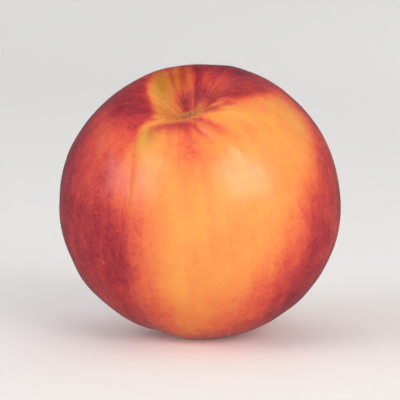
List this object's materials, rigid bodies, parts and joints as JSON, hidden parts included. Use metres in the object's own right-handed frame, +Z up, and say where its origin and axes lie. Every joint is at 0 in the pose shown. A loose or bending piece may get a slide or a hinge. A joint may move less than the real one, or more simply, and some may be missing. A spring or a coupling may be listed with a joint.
{
  "type": "nectarine",
  "caption": "Whole ripe nectarine: a smooth round stone fruit with a stem cavity and a suture, resting on a small flat spot.",
  "frame": {"origin": "middle of the bounding box's base, on the surface that the fruit rests on", "axes": "+Z up; the stem end leans 22 degrees from upright towards -Y, the front, and 6 degrees towards -X"},
  "size_m": [0.0708, 0.07, 0.0683],
  "materials": {
    "skin": "smooth waxy fruit skin, satin, orange yellow with a red blush"
  },
  "bodies": {
    "root": {"nectarine": "skin"}
  },
  "joints": []
}
